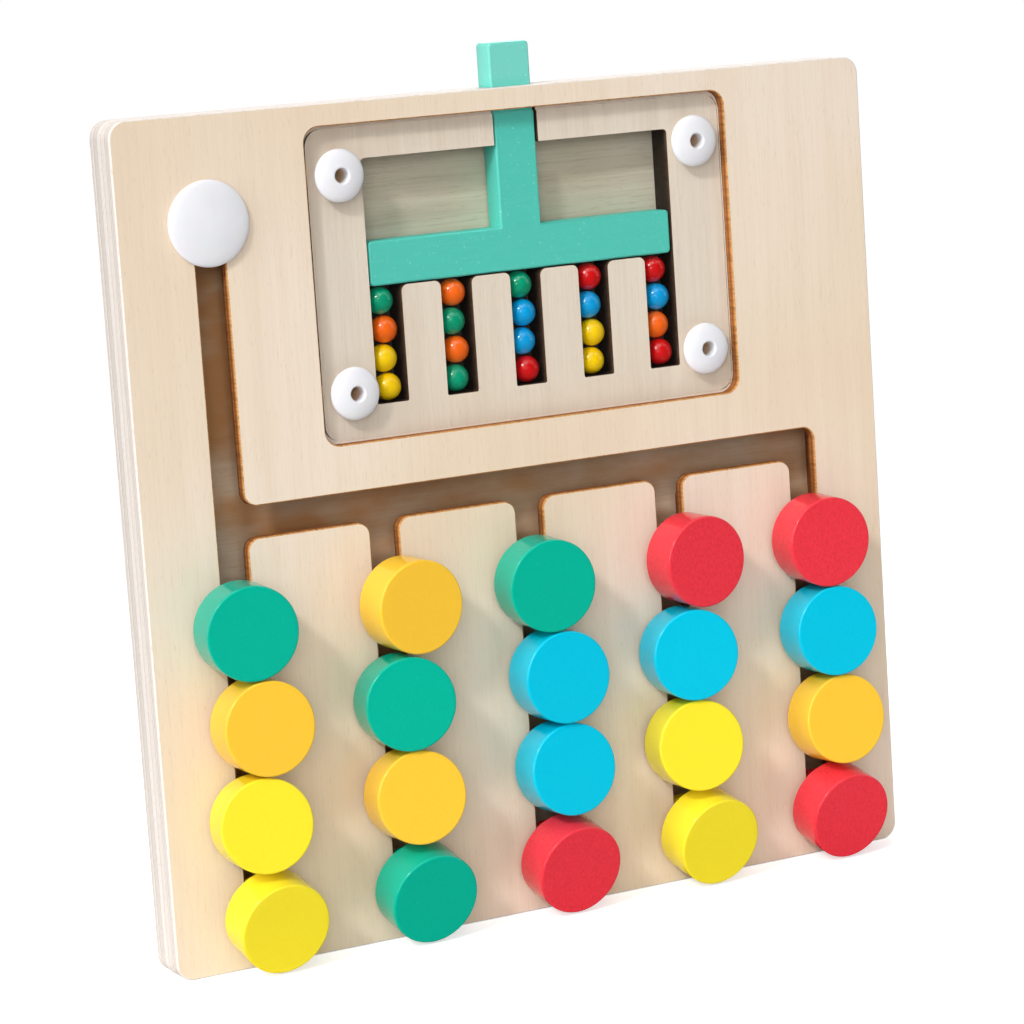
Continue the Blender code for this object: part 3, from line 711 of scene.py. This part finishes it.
def addPane():
    low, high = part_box("window_pane")
    outline = roundBox(low.x, high.x, low.z, high.z, pane["corner"] * mm)
    mesh = sheetMesh(
        "windowPane", outline, rivetHoles(board["shankHole"]), low.y, high.y, pane["ease"] * mm,
        pane["ease"] * mm, [finishes["acrylic"]], lambda point: True,
    )
    mesh.polygons.foreach_set("material_index", np.zeros(len(mesh.polygons), int))
    piece = addPiece("windowPane", mesh, "board", "clear_acrylic", "window_pane")
    piece.visible_shadow = piece.visible_diffuse = False  # clear sheet: light falls through it


# Bar sizes in mm: the cross piece's height, the stem's width and their edges
bar = {"height": 12.6, "stem": 13.0, "corner": 1.2, "ease": 0.5}


def addBar():
    low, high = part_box("bar")
    top = low.z + bar["height"] * mm
    middle = (low.x + high.x) / 2
    stemLeft, stemRight = middle - bar["stem"] * mm / 2, middle + bar["stem"] * mm / 2
    corner = bar["corner"] * mm
    outline = roundCorners([
        (low.x, low.z, corner), (high.x, low.z, corner), (high.x, top, corner), (stemRight, top, 0),
        (stemRight, high.z, corner), (stemLeft, high.z, corner), (stemLeft, top, 0), (low.x, top, corner),
    ])
    mesh = sheetMesh(
        "bar", outline, [], low.y, high.y, bar["ease"] * mm,
        bar["ease"] * mm, [finishes["teal"]], lambda point: True,
    )
    mesh.polygons.foreach_set("material_index", np.zeros(len(mesh.polygons), int))
    addPiece("bar", mesh, "bar", "teal_paint", "bar")


# Geometry Nodes tree for turned pieces: spins a profile round a tiny rail and puts one copy on each place
railRadius, weldDistance = 0.01 * mm, 0.001 * mm


def turnedPiecesTree():
    tree = bpy.data.node_groups.new("turnedPieces", "GeometryNodeTree")
    for name, kind in (
        ("Places", "NodeSocketGeometry"), ("Profile", "NodeSocketObject"), ("Segments", "NodeSocketInt"),
        ("Edge Steps", "NodeSocketInt"), ("Turn", "NodeSocketRotation"), ("Finish", "NodeSocketMaterial"),
    ):
        tree.interface.new_socket(name, in_out="INPUT", socket_type=kind)
    tree.interface.new_socket("Pieces", in_out="OUTPUT", socket_type="NodeSocketGeometry")
    entry = addNode(tree, "NodeGroupInput").outputs
    profile = addNode(tree, "GeometryNodeObjectInfo", links={"Object": entry["Profile"]})
    line = addNode(tree, "GeometryNodeMeshToCurve", links={"Mesh": profile.outputs["Geometry"]})
    radius = addNode(tree, "GeometryNodeInputNamedAttribute", values={"Name": "edgeRadius"})
    eased = addNode(
        tree, "GeometryNodeFilletCurve", settings={"mode": "POLY"}, values={"Limit Radius": True},
        links={
            "Curve": line.outputs["Curve"], "Count": entry["Edge Steps"],
            "Radius": radius.outputs["Attribute"],
        },
    )
    onAxis = addNode(
        tree, "GeometryNodeTransform", values={"Translation": (-railRadius, 0, 0)},
        links={"Geometry": eased.outputs["Curve"]},
    )
    rail = addNode(
        tree, "GeometryNodeCurvePrimitiveCircle", values={"Radius": railRadius},
        links={"Resolution": entry["Segments"]},
    )
    spun = addNode(
        tree, "GeometryNodeCurveToMesh",
        links={"Curve": rail.outputs["Curve"], "Profile Curve": onAxis.outputs["Geometry"]},
    )
    closed = addNode(
        tree, "GeometryNodeMergeByDistance", values={"Distance": weldDistance},
        links={"Geometry": spun.outputs["Mesh"]},
    )
    facing = addNode(
        tree, "GeometryNodeTransform", values={"Rotation": (math.pi / 2, 0, 0)},
        links={"Geometry": closed.outputs["Geometry"]},
    )
    copies = addNode(
        tree, "GeometryNodeInstanceOnPoints",
        links={"Points": entry["Places"], "Instance": facing.outputs["Geometry"], "Rotation": entry["Turn"]},
    )
    smooth = addNode(tree, "GeometryNodeSetShadeSmooth", links={"Geometry": copies.outputs["Instances"]})
    solid = addNode(tree, "GeometryNodeRealizeInstances", links={"Geometry": smooth.outputs["Geometry"]})
    finished = addNode(
        tree, "GeometryNodeSetMaterial",
        links={"Geometry": solid.outputs["Geometry"], "Material": entry["Finish"]},
    )
    addNode(tree, "NodeGroupOutput", links={"Pieces": finished.outputs["Geometry"]})
    return tree


turnedPieces = turnedPiecesTree()


# A profile's points are (radius, depth, edge radius) in mm, from the front back. A closed one has a bore.
def profileObject(name, points, closed=False):
    mesh = bpy.data.meshes.new(name)
    edges = [(index, index + 1) for index in range(len(points) - 1)]
    if closed:
        edges.append((len(points) - 1, 0))
    mesh.from_pydata([(radius * mm, depth * mm, 0) for radius, depth, ease in points], edges, [])
    ease = mesh.attributes.new("edgeRadius", "FLOAT", "POINT")
    ease.data.foreach_set("value", [point[2] * mm for point in points])
    profile = bpy.data.objects.new(name, mesh)
    scene.collection.objects.link(profile)
    return profile


def turnedMesh(name, places, profile, finish, segments, edgeSteps, turn=(0, 0, 0)):
    mesh = bpy.data.meshes.new(name + "Places")
    mesh.from_pydata([tuple(place) for place in places], [], [])
    holder = bpy.data.objects.new(name + "Places", mesh)
    scene.collection.objects.link(holder)
    maker = holder.modifiers.new("turned", "NODES")
    maker.node_group = turnedPieces
    inputs = {
        "Profile": profile, "Segments": segments, "Edge Steps": edgeSteps, "Turn": turn, "Finish": finish,
    }
    for item in turnedPieces.interface.items_tree:
        if item.in_out == "INPUT" and item.name in inputs:
            maker[item.identifier] = inputs[item.name]
    graph = bpy.context.evaluated_depsgraph_get()
    made = bpy.data.meshes.new_from_object(holder.evaluated_get(graph), depsgraph=graph)
    bpy.data.objects.remove(holder)
    shape = bmesh.new()
    shape.from_mesh(made)
    bmesh.ops.remove_doubles(shape, verts=shape.verts, dist=weldDistance)
    bmesh.ops.recalc_face_normals(shape, faces=shape.faces)
    shape.to_mesh(made)
    shape.free()
    made.set_sharp_from_angle(angle=turnedSharp)
    made.name = name
    return made


# Points over a domed head, from its middle or the lip of its bore out to its rim
def domePoints(radius, rim, height, inner=0.0, steps=14):
    last = math.acos(inner / radius)
    rise = (height - rim) / math.sin(last)
    angles = [last * (steps - step) / steps for step in range(steps + 1)]
    return [(radius * math.cos(angle), height - rim - rise * math.sin(angle), 0) for angle in angles]


# Four rivets in one mesh, with their front ends at one depth
def addRivetSet(name, nodeStart, profile, front):
    nodes = [f"{nodeStart}_{place}" for place in rivetPlaces]
    places = [(middleOf(node).x, front, middleOf(node).z) for node in nodes]
    mesh = turnedMesh(name, places, profile, finishes["plastic"], rivet["segments"], rivet["easeSteps"])
    addPiece(name, mesh, "board", "white_plastic", *nodes)
    bpy.data.objects.remove(profile)


def addRivets():
    low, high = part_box("rivet_upper_left")
    end, seat = (high.y - low.y) / mm, rivet["height"]
    radius, shank, bore = rivet["head"] / 2, rivet["shank"] / 2, rivet["bore"] / 2
    points = domePoints(radius, rivet["rim"], seat, bore)
    points[0] = (*points[0][:2], rivet["lipEase"])
    points += [
        (radius, seat, rivet["seatEase"]), (shank, seat, 0),
        (shank, end, rivet["shankEase"]), (bore, end, rivet["boreEase"]),
    ]
    addRivetSet("rivets", "rivet", profileObject("rivetProfile", points, closed=True), low.y)


def addRearRivets():
    low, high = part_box("rivet_rear_upper_left")
    pin, flange = rivet["pin"] / 2, rivet["flange"] / 2
    end = (high.y - low.y) / mm
    seat = end - rivet["flangeThickness"]
    points = [
        (0, 0, 0), (pin, 0, rivet["pinEase"]), (pin, seat, 0), (flange, seat, 0),
        (flange, end, rivet["flangeEase"]), (flange - rivet["flangeHold"], end, 0), (0, end, 0),
    ]
    addRivetSet("rearRivets", "rivet_rear", profileObject("rearRivetProfile", points), low.y)


# Plug sizes in mm: a domed head on a body that fills the hole
plug = {
    "head": 24.0, "height": 2.6, "rim": 0.7, "headEase": 0.3, "body": 17.0, "bodyEase": 0.4,
    "segments": 96, "easeSteps": 5,
}


def addPlug():
    seat, radius, body = plug["height"], plug["head"] / 2, plug["body"] / 2
    end = (plugHigh.y - plugLow.y) / mm
    points = domePoints(radius, plug["rim"], seat)
    points[0] = (0, 0, 0)  # exactly on the axis, where the dome closes
    points += [(radius, seat, plug["headEase"]), (body, seat, 0), (body, end, plug["bodyEase"]), (0, end, 0)]
    profile = profileObject("plugProfile", points)
    places = [(plugMiddle.x, plugLow.y, plugMiddle.z)]
    mesh = turnedMesh("trackPlug", places, profile, finishes["plastic"], plug["segments"], plug["easeSteps"])
    addPiece("trackPlug", mesh, "board", "white_plastic", "track_plug")
    bpy.data.objects.remove(profile)


# Knob sizes in mm: a thick disc in front, a stem through the track and a foot behind the front panel.
# hold is the width of the flat ring beside an eased edge, which keeps its shading tight.
knob = {
    "diameter": 26.8, "thickness": 12.3, "ease": 0.6, "hold": 0.3, "stem": 5.0, "stemLength": 8.52,
    "foot": 13.0, "footThickness": 2.2, "footEase": 0.4, "segments": 112, "easeSteps": 6,
}


# Axis of a turned CAD node, pointing backwards: the direction in which its spread is unlike the other two
def axisOf(node):
    corners = np.array([vertex.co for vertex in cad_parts[node].data.vertices])
    points = np.unique(corners.round(6), axis=0)
    middle = points.mean(axis=0)
    spreads, directions = np.linalg.eigh(np.cov((points - middle).T))
    alone = 0 if spreads[1] - spreads[0] > spreads[2] - spreads[1] else 2
    axis = directions[:, alone] * np.sign(directions[1, alone])
    front = middle + axis * ((points - middle) @ axis).min()
    return Vector(front), Vector(axis)


def addKnobs():
    radius, thick, ease, hold = knob["diameter"] / 2, knob["thickness"], knob["ease"], knob["hold"]
    stem, foot, footFront = knob["stem"] / 2, knob["foot"] / 2, knob["thickness"] + knob["stemLength"]
    footBack = footFront + knob["footThickness"]
    points = [
        (0, 0, 0), (radius - ease - hold, 0, 0), (radius, 0, ease), (radius, ease + hold, 0),
        (radius, thick - ease - hold, 0), (radius, thick, ease), (radius - ease - hold, thick, 0),
        (stem, thick, 0), (stem, footFront, 0), (foot, footFront, knob["footEase"]),
        (foot, footBack, knob["footEase"]), (0, footBack, 0),
    ]
    profile = profileObject("knobProfile", points)
    for node in sorted(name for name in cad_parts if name.startswith("knob_")):
        column, row, colourName = node.split("_")[1:]
        front, axis = axisOf(node)
        turn = Vector((0, 1, 0)).rotation_difference(axis).to_euler()
        name = f"knob{column}{row}{colourName.capitalize()}"
        finish = finishes[colourName + "Knob"]
        mesh = turnedMesh(name, [front], profile, finish, knob["segments"], knob["easeSteps"], turn)
        addPiece(name, mesh, f"knob_{column}_{row}", f"{colourName}_knob_paint", node)
    bpy.data.objects.remove(profile)


bead = {"diameter": 8.0, "segments": 48, "rings": 24, "easeSteps": 1}  # diameter in mm


def addBeads():
    radius = bead["diameter"] / 2
    angles = [math.pi * ring / bead["rings"] for ring in range(bead["rings"] + 1)]
    points = [(radius * math.sin(angle), -radius * math.cos(angle), 0) for angle in angles]
    profile = profileObject("beadProfile", points)
    for node in sorted(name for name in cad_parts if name.startswith("bead_")):
        column, row, colourName = node.split("_")[1:]
        name = f"bead{column}{row}{colourName.capitalize()}"
        finish = finishes[colourName + "Bead"]
        mesh = turnedMesh(name, [middleOf(node)], profile, finish, bead["segments"], bead["easeSteps"])
        addPiece(name, mesh, f"bead_{column}_{row}", f"{colourName}_bead_lacquer", node)
    bpy.data.objects.remove(profile)


addCamera()
addFrontPanel()
addTrackLayer()
addBackPanel()
addPane()
addBar()
print("sheets made")
addRivets()
addRearRivets()
addPlug()
addKnobs()
addBeads()
print("turned pieces made")

# Studio, in metres: a round of white paper on a dark floor, under a white surround, with a key light from the
# upper left and softer boxes at the left side, in front, above and behind. The camera, gloss and glass see
# the whole floor white, and a dark cove on the camera's side shows in gloss and glass alone.
studio = {
    "floorHalf": 6.0, "floorDrop": 0.0001, "floor": "#303030", "floorGlow": 1.0, "floorRough": 0.9,
    "paper": "#E4E4E4", "paperGlow": 0.6, "paperMiddle": (0.17, -0.15, 0), "paperEdge": (0.3, 0.8),
    "surround": "#FFFFFF", "fill": 0.18,
}
softboxes = {
    "key": {"place": (-4.63, -3.14, 4.33), "size": (0.85, 0.85), "watts": 214.0},
    "side": {"place": (-3.32, -0.70, 1.00), "size": (1.00, 2.00), "watts": 46.0},
    "front": {"place": (-1.20, -2.45, 0.75), "size": (1.40, 1.40), "watts": 25.0},
    "top": {"place": (-0.80, -1.60, 2.60), "size": (2.00, 2.00), "watts": 24.0},
    "rear": {"place": (1.90, 2.60, 2.20), "size": (2.00, 2.00), "watts": 84.0},
}
cove = {
    "front": 0.0, "bend": -1.90, "rear": -2.30, "rise": 0.4, "top": 2.6, "half": 3.0, "lift": 0.0005,
    "cloth": "#2A2A2A",
}


# True for rays from the camera and for what shows in gloss and glass
def seenDirectly(tree):
    path = addNode(tree, "ShaderNodeLightPath").outputs
    cameraOrGloss = calculate(tree, "MAXIMUM", path["Is Camera Ray"], path["Is Glossy Ray"])
    return calculate(tree, "MAXIMUM", cameraOrGloss, path["Is Transmission Ray"])


def addFloor():
    half, height = studio["floorHalf"], cadBox[0].z - studio["floorDrop"]
    corners = [(x * half, y * half, height) for x, y in ((-1, -1), (1, -1), (1, 1), (-1, 1))]
    mesh = bpy.data.meshes.new("floor")
    mesh.from_pydata(corners, [], [(0, 1, 2, 3)])
    material, tree, shader, coords = newFinish("whitePaperFloor")
    away = addNode(
        tree, "ShaderNodeVectorMath", settings={"operation": "DISTANCE"}, values={1: studio["paperMiddle"]},
        links={0: coords},
    )
    offPaper = remap(tree, away.outputs["Value"], studio["paperEdge"])
    colour = mixColours(tree, offPaper, studio["paper"], studio["floor"])
    level = remap(tree, offPaper, target=(studio["paperGlow"], studio["floorGlow"]))
    tree.links.new(colour, shader.inputs["Base Color"])
    tree.links.new(calculate(tree, "MULTIPLY", seenDirectly(tree), level), shader.inputs["Emission Strength"])
    setInputs(shader, {
        "Roughness": studio["floorRough"], "Specular IOR Level": 0.0,
        "Emission Color": hexToLinear(studio["surround"]),
    })
    mesh.materials.append(material)
    floor = bpy.data.objects.new("floor", mesh)
    scene.collection.objects.link(floor)


def addCove():
    half, low, rear = cove["half"], cadBox[0].z + cove["lift"], cove["rear"]
    profile = [(cove["front"], low), (cove["bend"], low), (rear, low + cove["rise"]), (rear, cove["top"])]
    mesh = bpy.data.meshes.new("cove")
    corners = [(side * half, y, z) for y, z in profile for side in (-1, 1)]
    mesh.from_pydata(corners, [], [(start, start + 1, start + 3, start + 2) for start in (0, 2, 4)])
    material = bpy.data.materials.new("darkStudioCloth")
    material.use_nodes = True
    setInputs(material.node_tree.nodes["Principled BSDF"], {
        "Base Color": hexToLinear(cove["cloth"]), "Roughness": 1.0, "Specular IOR Level": 0.0,
    })
    mesh.materials.append(material)
    sheet = bpy.data.objects.new("cove", mesh)
    sheet.visible_camera = sheet.visible_diffuse = sheet.visible_shadow = False
    scene.collection.objects.link(sheet)


def addWorld():
    world = bpy.data.worlds.new("studio")
    world.use_nodes = True
    tree = world.node_tree
    surround = tree.nodes["Background"]
    surround.inputs["Color"].default_value = hexToLinear(studio["surround"])
    strength = remap(tree, seenDirectly(tree), target=(studio["fill"], 1.0))
    tree.links.new(strength, surround.inputs["Strength"])
    scene.world = world


def addSoftboxes():
    aim = (cadBox[0] + cadBox[1]) / 2
    for name, box in softboxes.items():
        data = bpy.data.lights.new(name, "AREA")
        data.shape = "RECTANGLE"
        data.size, data.size_y = box["size"]
        data.energy = box["watts"]
        lamp = bpy.data.objects.new(name, data)
        lamp.location = box["place"]
        lamp.rotation_euler = (aim - lamp.location).to_track_quat("-Z", "Y").to_euler()
        scene.collection.objects.link(lamp)


addFloor()
addCove()
addWorld()
addSoftboxes()
scene.view_settings.view_transform = "Standard"
print("studio made")
